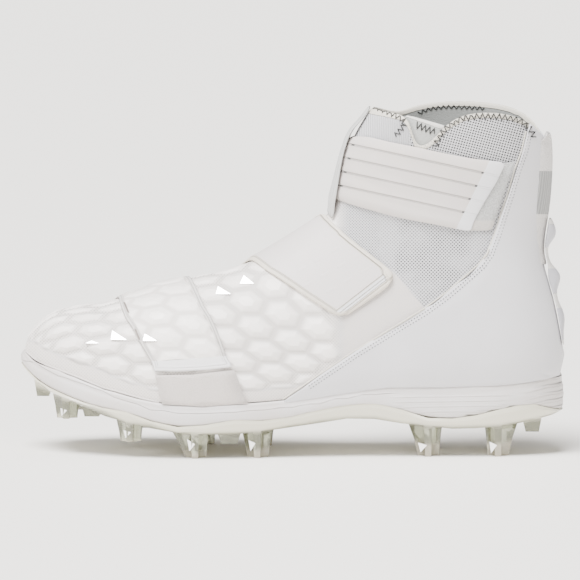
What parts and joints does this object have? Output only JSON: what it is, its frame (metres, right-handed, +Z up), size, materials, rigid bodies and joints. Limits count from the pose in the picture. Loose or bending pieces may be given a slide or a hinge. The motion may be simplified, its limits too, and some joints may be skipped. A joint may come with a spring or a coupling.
{
  "type": "american football cleat",
  "caption": "High-top american football cleat, left, with knitted bootie, wrap straps, foam midsole and studded plate.",
  "frame": {"origin": "on the floor, under the centre of the bounding box", "axes": "+Z up, -X toe, +X heel, -Y lateral side, +Y medial side of a left shoe"},
  "size_m": [0.3088, 0.098, 0.195],
  "materials": {
    "knit": "knitted mesh over foam pods",
    "foam": "moulded foam, satin",
    "clear_plastic": "translucent moulded plastic",
    "liner": "cloth-covered foam",
    "quarter_film": "smooth coated textile panel",
    "webbing": "padded woven straps",
    "elastic": "ribbed elastic",
    "loop_pile": "loop side of a hook-and-loop fastener",
    "spine_rubber": "soft moulded pads, satin"
  },
  "bodies": {
    "root": {"upper": "knit", "midsole": "foam", "outsole_plate": "clear_plastic", "insole": "liner", "heel_quarter": "quarter_film", "midfoot_strap": "webbing", "forefoot_strap": "webbing", "strap_base": "webbing", "ankle_strap": "webbing", "strap_patch": "loop_pile", "keeper_band": "elastic", "heel_pull_tab": "elastic", "collar_gusset": "elastic", "heel_spine": "spine_rubber"}
  },
  "joints": []
}
